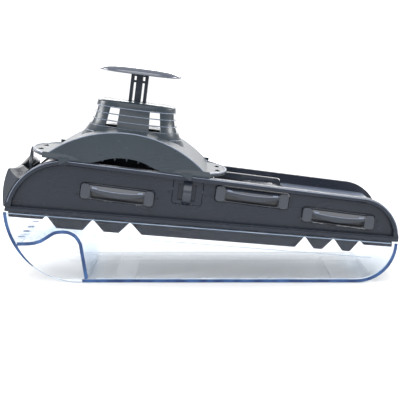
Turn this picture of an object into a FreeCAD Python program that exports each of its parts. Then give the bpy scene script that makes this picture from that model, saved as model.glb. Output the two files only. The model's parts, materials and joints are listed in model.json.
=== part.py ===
import FreeCAD, Part
import math
import os

from FreeCAD import Vector

# Mandoline slicer: a clear catch tub, a slicer frame that sits on it, four cartridges that slide
# out of the frame's side, a thickness lever that tilts the run-in plate, and a food holder with a
# sprung plunger that slides along the frame. Millimetres; +X along the length towards the
# outfeed end, +Z up, origin on the tub's flat base.

# ---------------------------------------------------------------- driving dimensions
HALF_WIDTH = 65.0          # tub outside, from the middle plane
TUB_WALL = 2.6
TUB_LEFT_X = -169.5
TUB_LEFT_R = 65.0
TUB_RIGHT_X = 170.5
TUB_RIGHT_R = 35.5
RIM_Z = 49.0               # rim height at X = 0
RIM_SLOPE = 0.08           # the rim falls towards +X

DECK_ANGLE = 7.22          # degrees, the frame's top falls towards +X
TOP_Z = 91.5               # height of the side walls' top at X = 0
LEFT_ARC_X, LEFT_ARC_R = -117.9, 51.0
RIGHT_ARC_X, RIGHT_ARC_R = 137.2, 34.0
BEAD = 4.5                 # width of the raised border round each side panel
BEAD_Y = 64.0              # outer face of the border
PANEL_Y = 58.0             # outer face of the recessed panel
INNER_Y = 55.5             # inner face of the side walls

RUN_IN_T = -13.0           # run-in plate, below the walls' top line
CUT_T = -9.0               # blade and outfeed level
CLEAR = 0.3                # gap between pieces that slide on each other

# cartridges: (start, end, bottom, top) along and across the sloping deck
JULIENNE_SLOT = (-101.0, -36.5, -31.6, -17.2)
SLICE_SLOT = (14.6, 78.8, -19.4, -5.0)
WAVE_SLOT = (91.0, 154.5, -27.6, -14.2)
CASSETTE_SLOT = (-22.0, 4.3, -26.0, -4.4)

HOLDER_S = -64.0           # holder centre along the deck at rest
SEAT_V = -54.0             # holder underside, below its tower top
SEAT_GAP = 0.2
APRON_Y = 64.6
APRON_T = 2.4

# catch tub; top of the grip arch: level lip, smooth hump, then a straight leg down to the base
ARCH_LIP = (-163.0, 35.5)
ARCH_HUMP = [(-147.0, 35.5), (-138.0, 37.6), (-130.0, 42.6), (-122.0, 45.6), (-113.6, 45.4),
             (-106.4, 41.6), (-101.6, 34.0)]
ARCH_FOOT = (-96.5, 1.5)
ARCH_T = 3.0
STRIPS = {"left": (-75.0, -57.0), "right": (116.0, 134.0)}      # soft foot strips, along X
STRIP_HALF = 52.0
STRIP_T = 1.2
STRIP_R = 3.0
STRIP_GAP = 0.05

# slicer frame
# V notches of the skirt that hangs inside the tub: start, peak and end along X
NOTCHES = [(-135.9, -132.4, -123.9), (-101.4, -92.4, -83.3), (-70.2, -60.2, -50.5),
           (82.0, 90.4, 98.2), (105.3, 115.4, 122.9), (129.3, 137.8, 141.4)]
SKIRT_Y = HALF_WIDTH - TUB_WALL - 0.6
SKIRT_T = 2.0
SKIRT_DROP = 11.7          # depth below the rim, and the shallower depth at both ends
SHORT_DROP = 5.0
DOT_R = 0.9                # small latch holes beside each window
END_SKIN_R = 30.0
END_SKIN_T = 2.5
SCREW_Y = (-40.0, -14.0, 14.0, 40.0)
GRIP_Y = 62.0              # half-width of the end grip

# thickness control
LEVER_X, LEVER_Z = -155.0, 86.0    # the lever's pivot
LEVER_Y0, LEVER_Y1 = 4.0, 54.5
PIN_R = 1.5
PIN_END = 57.0             # pins stop in blind holes inside the side walls
PIN_GAP = 0.05
HINGE_S, HINGE_T = -139.0, -16.4   # the run-in plate's hinge, on the deck
CARRIER_S1 = 13.6          # low end of the carrier under the run-in plate
CARRIER_HALF = INNER_Y - 0.7
BARREL_R = 3.0
BARREL_Y = (-48.0, -16.0, 16.0, 48.0)
PADDLE_TOP = 112.0
PADDLE_T = 3.0

# cartridges
FRONT_Y0 = -PANEL_Y + 0.2  # outer face of a cartridge's end block
FRONT_DEPTH = 9.0
BAR_T = 2.4                # thickness of a pull handle's bar
SLICE_THROAT = (23.0, 43.6)
LOWERED_HALF = 48.6        # the tray is lower before its throat, level with the run-in plate
BLADE_PINS = [(68.0, y) for y in (-38.0, 0.0, 38.0)]
WAVE_PITCH = 7.0

# food holder, from its tower's top: half-axes and height of the tower's ovals
TOWER = [(35.0, 24.0, -3.0), (36.2, 25.0, -12.0), (38.2, 27.0, -20.0), (42.0, 31.0, -28.0),
         (47.0, 37.0, -35.0)]
DOME = [(35.0, 24.0, -3.0), (34.2, 23.3, -1.7), (30.5, 20.2, -0.7), (22.0, 14.0, -0.1)]
SHELL_T = 2.2
RING_V = (-6.6, -12.6, -18.6, -24.2, -30.0)
RING_DEPTH = 1.4           # how far each ring reaches into the tower wall
RING_PROUD = 0.4
RING_T = 0.9
# window corners as (u, v); the far ones are wider
NEAR_WINDOW = [(13.2, -6.0), (22.0, -6.0), (24.8, -25.4), (14.2, -25.2)]
FAR_WINDOW = [(10.4, -6.0), (26.6, -6.0), (29.0, -26.6), (10.4, -25.0)]
END_WINDOW_HALF = 8.3
VAULT_R = 104.0            # the saddle's arch
VAULT_TOP = -24.4
FIN = [(57.8, -51.5), (57.8, -54.5), (56.4, -58.4), (48.6, -54.5), (48.6, -51.5)]
FIN_Y0, FIN_Y1 = 64.3, 65.9        # the fins hang outside the frame's side walls
TEETH_U = (-20.2, -10.1, 0.0, 10.1, 20.2)
RISE = 7.7                 # how far the apron's lower edge rises in the middle
EAR_END = 88.0
STEM_HALF = 7.9
STEM_Y = 4.6
STEM_TOP = 24.6
PUSHER_V = -40.0
PUSHER_T = 2.6
SPIDER_V = -36.6
SPIDER_T = 2.0
COLLAR_V = -5.4
SPRING_R = 11.0
WIRE_R = 0.55
PRONGS = [(24.0 * math.cos(i * math.pi / 6), 18.5 * math.sin(i * math.pi / 6)) for i in range(12)]
PRONG_TIP = -46.0

SIN = math.sin(math.radians(DECK_ANGLE))
COS = math.cos(math.radians(DECK_ANGLE))
X_AXIS, Y_AXIS, Z_AXIS = Vector(1, 0, 0), Vector(0, 1, 0), Vector(0, 0, 1)


# ---------------------------------------------------------------- helpers
def box(x0, x1, y0, y1, z0, z1):
    return Part.makeBox(x1 - x0, y1 - y0, z1 - z0, Vector(x0, y0, z0))


def fuse(shapes):
    result = shapes[0]
    if len(shapes) > 1:
        result = result.multiFuse(shapes[1:])
    return result.removeSplitter()


def spline(points):
    """Smooth curve through points of the XZ plane."""
    curve = Part.BSplineCurve()
    curve.interpolate([point(*p) for p in points])
    return curve.toShape()


def point(x, z):
    return Vector(x, 0, z)


def line(a, b):
    return Part.LineSegment(point(*a), point(*b)).toShape()


def arc(a, mid, b):
    return Part.Arc(point(*a), point(*mid), point(*b)).toShape()


def prism(edges, y0, y1):
    """Closed outline in the XZ plane, pulled from y0 to y1."""
    face = Part.Face(Part.Wire(Part.sortEdges(edges)[0]))
    face.translate(Vector(0, y0, 0))
    return face.extrude(Vector(0, y1 - y0, 0))


def polygon(points, y0, y1):
    return prism([line(a, b) for a, b in zip(points, points[1:] + points[:1])], y0, y1)


def rounded(x0, x1, z0, z1, radius, y0, y1):
    """Rounded rectangle in the XZ plane, pulled from y0 to y1."""
    shape = box(x0, x1, y0, y1, z0, z1)
    edges = [e for e in shape.Edges if abs(e.tangentAt(e.FirstParameter).y) > 0.9]
    return shape.makeFillet(radius, edges)


def cylinder_y(x, z, radius, y0, y1):
    return Part.makeCylinder(radius, y1 - y0, Vector(x, y0, z), Y_AXIS)


def mirror_x(shape):
    return shape.mirror(Vector(0, 0, 0), X_AXIS)


def mirror_y(shape):
    return shape.mirror(Vector(0, 0, 0), Y_AXIS)


def oval(a, b, z, thick):
    """Elliptical disc, half-axes a along X and b along Y, standing on z."""
    if b > a:
        curve = Part.Ellipse(Vector(0, b, z), Vector(a, 0, z), Vector(0, 0, z))
    else:
        curve = Part.Ellipse(Vector(a, 0, z), Vector(0, b, z), Vector(0, 0, z))
    return Part.Face(Part.Wire(curve.toShape())).extrude(Vector(0, 0, thick))


def oval_wire(a, b, z):
    return Part.Wire(Part.Ellipse(Vector(a, 0, z), Vector(0, b, z), Vector(0, 0, z)).toShape())


def oval_loft(sections):
    """Smooth solid through ellipses given as (a, b, z)."""
    return Part.makeLoft([oval_wire(*s) for s in sections], True, False)


def on_deck(shape):
    """From deck coordinates (X along the slope, Z square to it) to the row frame."""
    placed = shape.copy()
    placed.rotate(Vector(0, 0, 0), Y_AXIS, DECK_ANGLE)
    placed.translate(Vector(0, 0, TOP_Z))
    return placed


def on_holder(shape):
    """From holder coordinates (Z = 0 at the tower's top) to the row frame."""
    placed = shape.copy()
    placed.translate(Vector(HOLDER_S, 0, SEAT_GAP - SEAT_V))
    return on_deck(placed)


def rim(x):
    return RIM_Z - RIM_SLOPE * x


def arc_on_rim(cx, cz, radius, side, lift):
    """Where a circle about (cx, cz) crosses the line that runs `lift` above the rim."""
    x = cx + side * radius
    for _ in range(20):
        x = cx + side * math.sqrt(radius ** 2 - (rim(x) + lift - cz) ** 2)
    return x, rim(x) + lift


LEFT_ARC_Z = TOP_Z - LEFT_ARC_X * SIN / COS - LEFT_ARC_R / COS
RIGHT_ARC_Z = TOP_Z - RIGHT_ARC_X * SIN / COS - RIGHT_ARC_R / COS


def wall_outline(inset, lift):
    """Side wall outline: sloping top between two end arcs, on a line above the rim."""
    rl, rr = LEFT_ARC_R - inset, RIGHT_ARC_R - inset
    low_l = arc_on_rim(LEFT_ARC_X, LEFT_ARC_Z, rl, -1, lift)
    low_r = arc_on_rim(RIGHT_ARC_X, RIGHT_ARC_Z, rr, 1, lift)
    top_l = (LEFT_ARC_X + rl * SIN, LEFT_ARC_Z + rl * COS)
    top_r = (RIGHT_ARC_X + rr * SIN, RIGHT_ARC_Z + rr * COS)
    mid_l = (LEFT_ARC_X - rl * 0.75, LEFT_ARC_Z + rl * math.sqrt(1 - 0.75 ** 2))
    mid_r = (RIGHT_ARC_X + rr * 0.75, RIGHT_ARC_Z + rr * math.sqrt(1 - 0.75 ** 2))
    return [arc(low_l, mid_l, top_l), line(top_l, top_r), arc(top_r, mid_r, low_r),
            line(low_r, low_l)]


# ---------------------------------------------------------------- catch tub
def tub_profile(inset, lift):
    """Side view of the tub: flat base, a quarter round at the left, a smaller one at the right."""
    rl, rr = TUB_LEFT_R - inset, TUB_RIGHT_R - inset
    cl, cr = TUB_LEFT_X + TUB_LEFT_R, TUB_RIGHT_X - TUB_RIGHT_R
    top_l = arc_on_rim(cl, TUB_LEFT_R, rl, -1, lift)
    top_r = arc_on_rim(cr, TUB_RIGHT_R, rr, 1, lift)
    half = math.sqrt(0.5)
    return [line(top_r, top_l),
            arc(top_l, (cl - rl * half, TUB_LEFT_R - rl * half), (cl, inset)),
            line((cl, inset), (cr, inset)),
            arc((cr, inset), (cr + rr * half, TUB_RIGHT_R - rr * half), top_r)]


def arch_under():
    """Underside of the grip arch: its top line moved in by the band's thickness."""
    top = [ARCH_LIP] + ARCH_HUMP + [ARCH_FOOT]
    below = []
    for i, (x, z) in enumerate(top):
        a, b = top[max(i - 1, 0)], top[min(i + 1, len(top) - 1)]
        dx, dz = b[0] - a[0], b[1] - a[1]
        size = math.hypot(dx, dz)
        below.append((x + ARCH_T * dz / size, z - ARCH_T * dx / size))
    return below[1:-1], below[-1]


def make_tub():
    outer = prism(tub_profile(0, 0), -HALF_WIDTH, HALF_WIDTH)
    base_edges = [e for e in outer.Edges if e.BoundBox.YLength < 0.01
                  and e.BoundBox.ZMin < TUB_RIGHT_R - 1.0]
    outer = outer.makeFillet(1.4, base_edges)
    inner_y = HALF_WIDTH - TUB_WALL
    cavity = prism(tub_profile(TUB_WALL, 3.0), -inner_y, inner_y)
    under, foot = arch_under()
    edge, start = (-167.0, 32.0), (-160.6, 29.0)
    outline = [line(edge, ARCH_LIP), line(ARCH_LIP, ARCH_HUMP[0]), spline(ARCH_HUMP),
               line(ARCH_HUMP[-1], ARCH_FOOT), line(ARCH_FOOT, foot), line(foot, under[-1]),
               spline(under), line(under[0], start), line(start, edge)]
    band = prism(outline, -inner_y, inner_y).common(prism(tub_profile(0, 0), -inner_y, inner_y))
    # the hand hollow runs under the arch and out through the rounded corner
    mouth, deep, out = (-157.6, under[0][1]), (foot[0], -2.0), (-175.0, -2.0)
    low = (-159.0, 25.0)
    hollow = prism([line(low, mouth), line(mouth, under[0]), spline(under), line(under[-1], deep),
                    line(deep, out), line(out, low)], -inner_y, inner_y)
    shell = outer.cut(cavity).fuse(band).cut(hollow)
    lip_outer = polygon([(TUB_LEFT_X - 0.8, rim(TUB_LEFT_X) - 2.2),
                         (TUB_RIGHT_X + 0.8, rim(TUB_RIGHT_X) - 2.2),
                         (TUB_RIGHT_X + 0.8, rim(TUB_RIGHT_X)),
                         (TUB_LEFT_X - 0.8, rim(TUB_LEFT_X))], -HALF_WIDTH - 0.8, HALF_WIDTH + 0.8)
    lip = lip_outer.cut(box(-166.0, 167.0, -inner_y, inner_y, 20, 80))
    ribs = [box(-160.5, -141.0, y - 0.7, y + 0.7, 35.0, 37.2) for y in (-42, -14, 14, 42)]
    shell = fuse([shell, lip] + [r.cut(hollow) for r in ribs])
    pockets = [rounded_plan(x0 - STRIP_GAP, x1 + STRIP_GAP, -STRIP_HALF - STRIP_GAP,
                            STRIP_HALF + STRIP_GAP, -1, STRIP_T + STRIP_GAP, STRIP_R)
               for x0, x1 in STRIPS.values()]
    # shallow oval thumb dimple on each outer side face
    for side in (-1, 1):
        dimple = Part.makeCylinder(7.0, 0.8, Vector(0, -0.4, 0), Y_AXIS)
        scale = FreeCAD.Matrix(1.25, 0, 0, 0, 0, 1, 0, 0, 0, 0, 0.75, 0, 0, 0, 0, 1)
        dimple = dimple.transformGeometry(scale)
        dimple.rotate(Vector(0, 0, 0), Y_AXIS, 35)
        dimple.translate(Vector(-114.5, side * HALF_WIDTH, 33.5))
        pockets.append(dimple)
    return shell.cut(pockets)


def make_strip(name):
    x0, x1 = STRIPS[name]
    return rounded_plan(x0, x1, -STRIP_HALF, STRIP_HALF, 0, STRIP_T, STRIP_R)


def rounded_plan(x0, x1, y0, y1, z0, z1, radius):
    """Box with its upright edges rounded."""
    shape = box(x0, x1, y0, y1, z0, z1)
    edges = [e for e in shape.Edges if abs(e.tangentAt(e.FirstParameter).z) > 0.9]
    return shape.makeFillet(radius, edges)


# ---------------------------------------------------------------- slicer frame


def deck_xz(s, t):
    return s * COS + t * SIN, TOP_Z - s * SIN + t * COS


def window(slot, grow, y0, y1, radius=3.0):
    s0, s1, t0, t1 = slot
    return on_deck(rounded(s0 - grow, s1 + grow, t0 - grow, t1 + grow, radius, y0, y1))


def side_wall():
    """The -Y wall: a raised border round a recessed panel, with its cartridge windows."""
    wall = prism(wall_outline(0, CLEAR), -BEAD_Y, -INNER_Y)
    wall = wall.cut(prism(wall_outline(BEAD, BEAD), -BEAD_Y - 1, -PANEL_Y))
    flange = polygon([(-167.6, rim(-167.6) + CLEAR), (169.6, rim(169.6) + CLEAR),
                      (169.6, rim(169.6) + 3.4), (-167.6, rim(-167.6) + 3.4)],
                     -HALF_WIDTH - 0.6, -INNER_Y)
    x_left, x_right = -165.2, 165.8
    points = [(x_left, rim(x_left) + 1), (x_left, rim(x_left) - SHORT_DROP)]
    for x0, xa, x1 in NOTCHES:
        drop0 = SHORT_DROP if x0 < -130 else SKIRT_DROP
        drop1 = SHORT_DROP if x1 > 140 else SKIRT_DROP
        points += [(x0, rim(x0) - drop0), (xa, rim(xa) - 1.6), (x1, rim(x1) - drop1)]
    points += [(x_right, rim(x_right) - SHORT_DROP), (x_right, rim(x_right) + 1)]
    skirt = polygon(points, -SKIRT_Y, -SKIRT_Y + SKIRT_T)
    wall = fuse([wall, flange, skirt])
    slots = [JULIENNE_SLOT, SLICE_SLOT, WAVE_SLOT, CASSETTE_SLOT]
    wall = wall.cut([window(s, 0.0, -BEAD_Y - 5, -INNER_Y + 1) for s in slots])
    dots = []
    for s0, s1, t0, t1 in slots[:3]:
        dots.append(on_deck(cylinder_y(s0 - 2.6, t0 + 3.6, DOT_R, -PANEL_Y - 1, -PANEL_Y + 1.2)))
        dots.append(on_deck(cylinder_y(s1 + 2.6, t0 + 8.3, DOT_R, -PANEL_Y - 1, -PANEL_Y + 1.2)))
    for s in (CASSETTE_SLOT[0] - 2.6, CASSETTE_SLOT[1] + 2.6):
        dots.append(on_deck(cylinder_y(s, -16.0, DOT_R, -PANEL_Y - 1, -PANEL_Y + 1.2)))
    return wall.cut(dots)


def ring_sector(cx, cz, r_out, thick, y0, y1, keep):
    ring = cylinder_y(cx, cz, r_out, y0, y1).cut(cylinder_y(cx, cz, r_out - thick, y0 - 1, y1 + 1))
    return ring.common(keep)


def make_frame():
    near = side_wall()
    far = mirror_y(near)
    inner = INNER_Y + 0.5
    # the cassette's slot does not go through the far wall
    far = far.fuse(window(CASSETTE_SLOT, 0.5, INNER_Y, PANEL_Y))
    above_rim = polygon([(-175, rim(-175) + CLEAR), (176, rim(176) + CLEAR), (176, 140), (-175, 140)],
                        -inner, inner)
    left_keep = above_rim.common(on_deck(box(-175, -112.5, -inner, inner, -60, -14.4)))
    left_skin = ring_sector(LEFT_ARC_X, LEFT_ARC_Z, LEFT_ARC_R - 0.6, END_SKIN_T, -inner, inner,
                            left_keep.common(box(-175, LEFT_ARC_X, -inner, inner, 0, 140)))
    lever_slot = box(-164, -146, LEVER_Y0 - 1.5, INNER_Y, 70, 110)
    left_skin = left_skin.cut(lever_slot)
    right_keep = above_rim.common(on_deck(box(142.6, 190, -inner, inner, -60, CUT_T - 1.9)))
    right_skin = ring_sector(RIGHT_ARC_X, RIGHT_ARC_Z, END_SKIN_R, END_SKIN_T, -inner, inner,
                             right_keep)
    rails = []
    for s0, s1, t0, t1 in ((80.0, 90.0, -20.5, -11.2), (7.2, 13.6, -26.0, -17.6),
                           (-33.0, -25.0, -31.0, -17.8)):
        rails.append(on_deck(box(s0, s1, -inner, inner, t0, t1)))
    shelf = on_deck(box(-150.0, -105.0, -inner, inner, -40.6, -38.4))
    web = on_deck(box(-107.0, -105.0, -inner, inner, -38.4, -18.0))
    web = web.cut(on_deck(box(-110.0, -100.0, -20.0, 20.0, -38.4, -17.0)))
    end_lips = [polygon([(-167.6, rim(-167.6) + CLEAR), (-162.0, rim(-162.0) + CLEAR),
                         (-162.0, rim(-162.0) + 3.4), (-167.6, rim(-167.6) + 3.4)], -57, 57),
                polygon([(164.0, rim(164.0) + CLEAR), (169.6, rim(169.6) + CLEAR),
                         (169.6, rim(169.6) + 3.4), (164.0, rim(164.0) + 3.4)], -57, 57)]
    frame = fuse([near, far, left_skin, right_skin, shelf, web] + rails + end_lips)
    pin_x, pin_z = deck_xz(HINGE_S, HINGE_T)
    holes = [cylinder_y(pin_x, pin_z, PIN_R, -PIN_END, PIN_END),
             cylinder_y(LEVER_X, LEVER_Z, PIN_R, INNER_Y - 2, PIN_END)]
    holes += [on_deck(Part.makeCylinder(1.0, 8.0, Vector(85, y, -18.9), Z_AXIS)) for y in SCREW_Y]
    return frame.cut(holes)


def make_end_grip():
    """Rounded hand grip at the raised end, with a scooped top and a pocket for the lever."""
    low = (-169.4, rim(-169.4) + CLEAR + 3.2)
    outline = [line((-160.0, low[1]), low),
               arc(low, (-168.9, 84.0), (-164.2, 99.3)),
               line((-164.2, 99.3), (-163.2, 99.1)),
               arc((-163.2, 99.1), (-159.6, 93.6), (-154.2, 90.2)),
               line((-154.2, 90.2), (-160.0, low[1]))]
    grip = prism(outline, -GRIP_Y, GRIP_Y)
    grip = grip.cut(cylinder_y(LEFT_ARC_X, LEFT_ARC_Z, LEFT_ARC_R + 0.05, -70, 70))
    dip = Part.makeCylinder(420.0, 40.0, Vector(-180, 0, 99.3 + 416.0), X_AXIS)
    pocket = box(-163.6, -140, LEVER_Y0 - 1.5, LEVER_Y1 + 3.0, 74, 105)
    return grip.cut(dip).cut(pocket)


def make_outfeed_deck():
    s_end = 158.6
    plate = box(79.2, s_end, -INNER_Y + 0.05, INNER_Y - 0.05, CUT_T - 1.8, CUT_T + 0.2)
    plate = plate.makeFillet(0.6, [e for e in plate.Edges if abs(e.BoundBox.ZMin - CUT_T - 0.2) < 0.01
                                   and e.BoundBox.YLength > 50])
    bosses = [Part.makeCylinder(2.0, 0.4, Vector(85, y, CUT_T - 2.2), Z_AXIS) for y in SCREW_Y]
    plate = fuse([plate] + bosses)
    plate = plate.cut([Part.makeCylinder(1.0, 2.6, Vector(85, y, CUT_T - 2.2), Z_AXIS).common(
        box(80, 90, -60, 60, -12, CUT_T - 0.8)) for y in SCREW_Y])
    return on_deck(plate)


def make_deck_screws():
    screws = []
    for y in SCREW_Y:
        head = Part.makeCylinder(2.2, 1.6, Vector(85, y, -22.1), Z_AXIS)
        head = head.cut(box(82, 88, y - 0.4, y + 0.4, -22.2, -21.4))
        shaft = Part.makeCylinder(1.0, 10.6, Vector(85, y, -20.5), Z_AXIS)
        screws.append(on_deck(head.fuse(shaft)))
    return Part.makeCompound(screws)


# ---------------------------------------------------------------- thickness control


def make_run_in_plate():
    """Polished steel sheet with shallow pressed ribs that cut down drag."""
    sheet = box(-143.0, 14.2, -CARRIER_HALF, CARRIER_HALF, RUN_IN_T - 1.0, RUN_IN_T - 0.2)
    ribs = []
    for i in range(9):
        y = -44.0 + 11.0 * i
        rib = cylinder_x(-134.0, 8.0, y, RUN_IN_T - 1.2, 1.4)
        ribs.append(rib.common(box(-143, 14, y - 3, y + 3, RUN_IN_T - 0.6, RUN_IN_T + 1)))
    return on_deck(fuse([sheet] + ribs))


def cylinder_x(x0, x1, y, z, radius):
    return Part.makeCylinder(radius, x1 - x0, Vector(x0, y, z), X_AXIS)


def make_run_in_carrier():
    """Moulded carrier under the steel sheet, hinged at the raised end."""
    top, low = RUN_IN_T - 1.0, RUN_IN_T - 3.6
    plate = box(-134.0, CARRIER_S1, -CARRIER_HALF, CARRIER_HALF, low, top)
    pockets = [rounded_plan(s, s + 40.0, y0, y0 + 46.0, low - 1, top - 1.1, 3.0)
               for s in (-124.0, -78.0, -32.0) for y0 in (-50.0, 4.0)]
    plate = plate.cut(pockets)
    parts = [plate]
    for y in BARREL_Y:
        barrel = cylinder_y(HINGE_S, HINGE_T, BARREL_R, y - 5, y + 5)
        arm = box(HINGE_S, -133.0, y - 5, y + 5, low, top)
        parts.append(barrel.fuse(arm).common(box(-150, -130, -60, 60, -30, top)))
    lugs = [box(-118.0, -112.0, y - 3.0, y + 3.0, -21.2, top - 0.6) for y in (-14.0, 14.0)]
    bore = cylinder_y(HINGE_S, HINGE_T, PIN_R + PIN_GAP, -60, 60)
    return on_deck(fuse(parts + lugs).cut(bore))


def make_plate_rivets():
    rivets = []
    for s in (-128.0, -81.0, -35.0, 10.6):
        for y in (-51.8, 51.8):
            head = Part.makeCylinder(1.7, 0.5, Vector(s, y, RUN_IN_T - 0.2), Z_AXIS)
            rivets.append(on_deck(head))
    return Part.makeCompound(rivets)


def make_hinge_pin():
    x, z = deck_xz(HINGE_S, HINGE_T)
    return cylinder_y(x, z, PIN_R, -PIN_END, PIN_END)


def make_lever_pin():
    return cylinder_y(LEVER_X, LEVER_Z, PIN_R, LEVER_Y0 + 1.0, PIN_END)


def paddle_outline(inset):
    """Rounded thumb paddle in the YZ plane."""
    y0, y1 = LEVER_Y0 + inset, LEVER_Y1 - inset
    mid, base, shoulder, top = (y0 + y1) / 2, LEVER_Z + inset, 97.0, PADDLE_TOP - inset
    corners = [Vector(0, y0, base), Vector(0, y0, shoulder), Vector(0, mid, top),
               Vector(0, y1, shoulder), Vector(0, y1, base)]
    edges = [Part.LineSegment(corners[0], corners[1]).toShape(),
             Part.Arc(corners[1], corners[2], corners[3]).toShape(),
             Part.LineSegment(corners[3], corners[4]).toShape(),
             Part.LineSegment(corners[4], corners[0]).toShape()]
    return Part.Face(Part.Wire(edges))


def make_lever():
    body = paddle_outline(0.0)
    body.translate(Vector(LEVER_X - PADDLE_T / 2, 0, 0))
    body = body.extrude(Vector(PADDLE_T, 0, 0))
    barrel = cylinder_y(LEVER_X, LEVER_Z, 3.4, LEVER_Y0, LEVER_Y1)
    arm = box(LEVER_X - 2.0, LEVER_X + 2.0, 8.0, 14.0, LEVER_Z - 11.0, LEVER_Z)
    tip = cylinder_y(LEVER_X, LEVER_Z - 11.0, 2.0, 8.0, 14.0)
    face = paddle_outline(3.0)
    face.translate(Vector(LEVER_X + PADDLE_T / 2 - 0.8, 0, 0))
    recess = face.extrude(Vector(2.0, 0, 0)).common(box(-160, -140, 0, 60, 95.0, 120))
    lever = fuse([body, barrel, arm, tip])
    return lever.cut(recess).cut(cylinder_y(LEVER_X, LEVER_Z, PIN_R + PIN_GAP, -60, 60))


def make_lever_face():
    face = paddle_outline(3.1)
    face.translate(Vector(LEVER_X + PADDLE_T / 2 - 0.8, 0, 0))
    return face.extrude(Vector(0.9, 0, 0)).common(box(-160, -140, 0, 60, 95.2, 120))


def make_ramp_slider():
    """Wedge bar that the lever pushes along the shelf to lift the carrier's lugs."""
    base = box(-134.0, -109.0, -18.0, 18.0, -38.1, -35.1)
    wedges = []
    for y in (-14.0, 14.0):
        top_hi, top_lo = -20.2, -22.6
        wedge = polygon([(-130.0, -35.2), (-109.5, -35.2), (-109.5, top_lo), (-130.0, top_hi)],
                        y - 3.5, y + 3.5)
        wedges.append(wedge)
    lever_s = LEVER_X * COS - (LEVER_Z - 11.0 - TOP_Z) * SIN
    lever_t = LEVER_X * SIN + (LEVER_Z - 11.0 - TOP_Z) * COS
    fork = box(lever_s - 5.4, -133.0, 3.0, 18.0, -38.1, -35.1)
    tines = []
    for side in (-1, 1):
        s = lever_s + side * 4.2
        tines.append(box(s - 1.2, s + 1.2, 3.0, 18.0, -38.1, lever_t + 2.0))
    slot = box(lever_s - 3.0, lever_s + 3.0, 7.0, 15.0, -40.0, -30.0)
    return on_deck(fuse([base, fork] + wedges + tines).cut(slot))


# ---------------------------------------------------------------- cartridges


def cartridge_front(slot):
    """The cartridge's end block that fills the wall window, hollowed as a finger recess."""
    s0, s1, t0, t1 = slot
    g = CLEAR
    block = rounded(s0 + g, s1 - g, t0 + g, t1 - g, 2.8, FRONT_Y0, FRONT_Y0 + FRONT_DEPTH)
    recess = rounded(s0 + g + 9.0, s1 - g - 9.0, t0 + g + 1.0, t1 - g - 1.6, 2.0,
                     FRONT_Y0 - 1, FRONT_Y0 + FRONT_DEPTH - 2.0)
    return block.cut(recess)


def cartridge_back(slot):
    s0, s1, t0, t1 = slot
    g = CLEAR
    return rounded(s0 + g, s1 - g, t0 + g, t1 - g, 2.8, INNER_Y - 4.5, PANEL_Y - 0.2)


def make_handle(slot):
    """Pull handle: two legs on the end block and a bowed bar between them."""
    s0, s1, t0, t1 = slot
    g = CLEAR + 0.2
    a, b = s0 + g, s1 - g
    leg, proud = 8.6, -BEAD_Y + 0.3
    mid = (a + b) / 2
    legs = [rounded(x0, x1, t0 + g, t1 - g, 2.4, proud, FRONT_Y0)
            for x0, x1 in ((a, a + leg), (b - leg, b))]
    top, end, deep = t1 - g, t1 - g - 5.0, t1 - g - 9.2
    belly = [line((a + 3.0, top), (b - 3.0, top)), line((b - 3.0, top), (b - 3.0, end)),
             arc((b - 3.0, end), (mid, deep), (a + 3.0, end)), line((a + 3.0, end), (a + 3.0, top))]
    bar = prism(belly, proud, proud + BAR_T)
    handle = fuse(legs + [bar])
    ridge = [e for e in handle.Edges if abs(e.BoundBox.YMin - proud) < 0.01
             and abs(e.BoundBox.YMax - proud) < 0.01 and e.BoundBox.ZMin > t1 - g - 0.05]
    return on_deck(handle.makeFillet(0.9, ridge))


def tray_plate(slot, top, thick, throat, y_half=INNER_Y - 4.5):
    """Flat tray between the two end blocks, with an opening for the slices."""
    s0, s1, _, _ = slot
    g = CLEAR
    plate = box(s0 + g, s1 - g, FRONT_Y0 + FRONT_DEPTH - 0.1, y_half, top - thick, top)
    a, b = throat
    return plate.cut(box(a, b, -44.0, 44.0, top - thick - 1, top + 1))


def make_slice_tray():
    tray = tray_plate(SLICE_SLOT, CUT_T - 0.9, 5.6, SLICE_THROAT)
    lowered = box(SLICE_SLOT[0] - 1, SLICE_THROAT[0], -LOWERED_HALF, INNER_Y - 4.6, RUN_IN_T - 0.2, 0)
    tray = tray.cut(lowered)
    pins = [Part.makeCylinder(1.3, 2.5, Vector(s, y, CUT_T - 2.9), Z_AXIS) for s, y in BLADE_PINS]
    ends = [cartridge_front(SLICE_SLOT), cartridge_back(SLICE_SLOT)]
    return on_deck(fuse([tray] + ends).cut(pins))


def make_slice_blade():
    """Ground steel blade with a bevelled leading edge."""
    top, low = CUT_T, CUT_T - 0.9
    outline = [(42.4, low), (74.0, low), (74.0, top), (46.0, top)]
    blade = polygon(outline, -46.0, 46.0)
    pins = [Part.makeCylinder(1.3, 3.0, Vector(s, y, low - 1), Z_AXIS) for s, y in BLADE_PINS]
    return on_deck(blade.cut(pins))


def make_blade_rivets():
    rivets = []
    for s, y in BLADE_PINS:
        stem = Part.makeCylinder(1.3, 2.9, Vector(s, y, CUT_T - 2.9), Z_AXIS)
        head = Part.makeCylinder(2.4, 0.6, Vector(s, y, CUT_T), Z_AXIS)
        rivets.append(on_deck(stem.fuse(head)))
    return Part.makeCompound(rivets)


def stored_tray(slot, throat):
    tray = tray_plate(slot, slot[3] - 5.0, 4.0, throat)
    return fuse([tray, cartridge_front(slot), cartridge_back(slot)])


def make_julienne_tray():
    return on_deck(stored_tray(JULIENNE_SLOT, (-90.0, -72.0)))


def make_julienne_blade():
    top = JULIENNE_SLOT[3] - 5.0
    return on_deck(polygon([(-73.4, top), (-42.0, top), (-42.0, top + 0.9), (-69.8, top + 0.9)],
                           -46.0, 46.0))


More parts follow.
